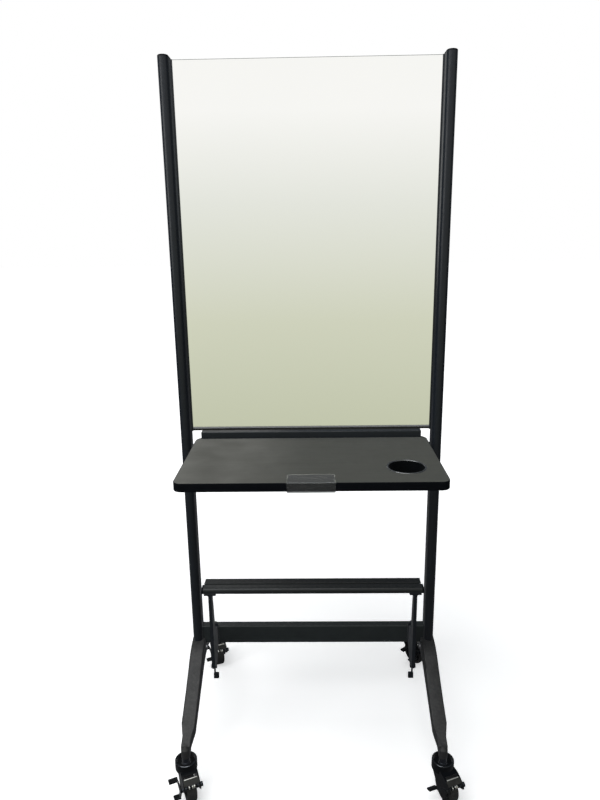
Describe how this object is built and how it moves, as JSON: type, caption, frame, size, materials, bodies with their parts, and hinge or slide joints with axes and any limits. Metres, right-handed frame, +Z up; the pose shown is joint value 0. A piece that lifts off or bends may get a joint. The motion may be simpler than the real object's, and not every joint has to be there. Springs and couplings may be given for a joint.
{
  "type": "salon styling station",
  "caption": "Mobile salon styling station: tall mirror between flat-oval posts, laminate tool shelf with a dryer cup, footrest bar, and arched feet on braked swivel casters.",
  "frame": {"origin": "on the floor, under the middle of the overall box; the point between the posts is at X -0.010, Y +0.020", "axes": "+Z up, +X towards the user's right as they face the mirror, -Y towards the user"},
  "size_m": [0.7606, 0.638, 1.799],
  "materials": {
    "satin_black_steel": "satin black powder coat",
    "black_aluminium": "satin black coating on an extruded section",
    "black_plastic": "moulded, fine satin grain",
    "plug_steel": "bare machined",
    "zinc_screws": "zinc plated",
    "mirror_silver": "polished",
    "black_board": "black painted fibreboard",
    "shelf_laminate": "dark grey-brown laminate, satin",
    "bright_ring": "bright plated",
    "clear_plastic": "clear, polished",
    "caster_black": "glass-filled nylon, semi-gloss",
    "caster_steel": "zinc plated",
    "caster_tyre": "moulded rubber"
  },
  "bodies": {
    "frame_and_shelf": {"left_post": "satin_black_steel", "right_post": "satin_black_steel", "left_foot": "satin_black_steel", "right_foot": "satin_black_steel", "crossbar": "satin_black_steel", "left_mirror_stile": "satin_black_steel", "right_mirror_stile": "satin_black_steel", "mirror_rail": "satin_black_steel", "left_shelf_bracket": "satin_black_steel", "right_shelf_bracket": "satin_black_steel", "left_footrest_bracket": "satin_black_steel", "right_footrest_bracket": "satin_black_steel", "footrest_tread": "black_aluminium", "post_top_caps": "black_plastic", "footrest_end_caps": "black_plastic", "shelf_edge_band": "black_plastic", "dryer_cup": "black_plastic", "post_foot_plugs": "plug_steel", "foot_bolts": "zinc_screws", "mirror_stile_screws": "zinc_screws", "shelf_bracket_bolts": "zinc_screws", "shelf_screws": "zinc_screws", "footrest_screws": "zinc_screws", "footrest_bracket_bolts": "zinc_screws", "mirror_glass": "mirror_silver", "mirror_backboard": "black_board", "shelf_board": "shelf_laminate", "dryer_cup_rim": "bright_ring", "clear_edge_guard": "clear_plastic", "front_left_stem": "caster_steel", "front_right_stem": "caster_steel", "rear_left_stem": "caster_steel", "rear_right_stem": "caster_steel"},
    "front_left_swivel": {"front_left_fork": "caster_black", "front_left_axle": "caster_steel"},
    "front_left_rolling": {"front_left_wheel": "caster_black", "front_left_tyre": "caster_tyre"},
    "front_left_brake": {"front_left_brake_shaft": "caster_steel", "front_left_brake_pedal": "caster_black"},
    "front_right_swivel": {"front_right_fork": "caster_black", "front_right_axle": "caster_steel"},
    "front_right_rolling": {"front_right_wheel": "caster_black", "front_right_tyre": "caster_tyre"},
    "front_right_brake": {"front_right_brake_shaft": "caster_steel", "front_right_brake_pedal": "caster_black"},
    "rear_left_swivel": {"rear_left_fork": "caster_black", "rear_left_axle": "caster_steel"},
    "rear_left_rolling": {"rear_left_wheel": "caster_black", "rear_left_tyre": "caster_tyre"},
    "rear_left_brake": {"rear_left_brake_shaft": "caster_steel", "rear_left_brake_pedal": "caster_black"},
    "rear_right_swivel": {"rear_right_fork": "caster_black", "rear_right_axle": "caster_steel"},
    "rear_right_rolling": {"rear_right_wheel": "caster_black", "rear_right_tyre": "caster_tyre"},
    "rear_right_brake": {"rear_right_brake_shaft": "caster_steel", "rear_right_brake_pedal": "caster_black"}
  },
  "joints": [
    {"name": "front_left_swivel", "type": "hinge", "parent": "frame_and_shelf", "child": "front_left_swivel", "pos_m": [-0.3375, -0.25, 0.09], "axis": [0, 0, 1], "continuous": true},
    {"name": "front_left_roll", "type": "hinge", "parent": "front_left_swivel", "child": "front_left_rolling", "pos_m": [-0.32855, -0.2701, 0.0375], "axis": [0.9135, 0.4067, 0], "continuous": true},
    {"name": "front_left_brake", "type": "hinge", "parent": "front_left_swivel", "child": "front_left_brake", "pos_m": [-0.31528, -0.29992, 0.06393], "axis": [-0.9135, -0.4067, 0], "range_deg": [0, 22]},
    {"name": "front_right_swivel", "type": "hinge", "parent": "frame_and_shelf", "child": "front_right_swivel", "pos_m": [0.3175, -0.25, 0.09], "axis": [0, 0, 1], "continuous": true},
    {"name": "front_right_roll", "type": "hinge", "parent": "front_right_swivel", "child": "front_right_rolling", "pos_m": [0.32574, -0.2704, 0.0375], "axis": [0.9272, 0.3746, 0], "continuous": true},
    {"name": "front_right_brake", "type": "hinge", "parent": "front_right_swivel", "child": "front_right_brake", "pos_m": [0.33797, -0.30066, 0.06393], "axis": [-0.9272, -0.3746, 0], "range_deg": [-22, 0]},
    {"name": "rear_left_swivel", "type": "hinge", "parent": "frame_and_shelf", "child": "rear_left_swivel", "pos_m": [-0.3375, 0.29, 0.09], "axis": [0, 0, 1], "continuous": true},
    {"name": "rear_left_roll", "type": "hinge", "parent": "rear_left_swivel", "child": "rear_left_rolling", "pos_m": [-0.32926, 0.2696, 0.0375], "axis": [0.9272, 0.3746, 0], "continuous": true},
    {"name": "rear_left_brake", "type": "hinge", "parent": "rear_left_swivel", "child": "rear_left_brake", "pos_m": [-0.31703, 0.23934, 0.06393], "axis": [-0.9272, -0.3746, 0], "range_deg": [0, 22]},
    {"name": "rear_right_swivel", "type": "hinge", "parent": "frame_and_shelf", "child": "rear_right_swivel", "pos_m": [0.3175, 0.29, 0.09], "axis": [0, 0, 1], "continuous": true},
    {"name": "rear_right_roll", "type": "hinge", "parent": "rear_right_swivel", "child": "rear_right_rolling", "pos_m": [0.33164, 0.27315, 0.0375], "axis": [0.766, 0.6428, 0], "continuous": true},
    {"name": "rear_right_brake", "type": "hinge", "parent": "rear_right_swivel", "child": "rear_right_brake", "pos_m": [0.35262, 0.24814, 0.06393], "axis": [-0.766, -0.6428, 0], "range_deg": [0, 22]}
  ]
}
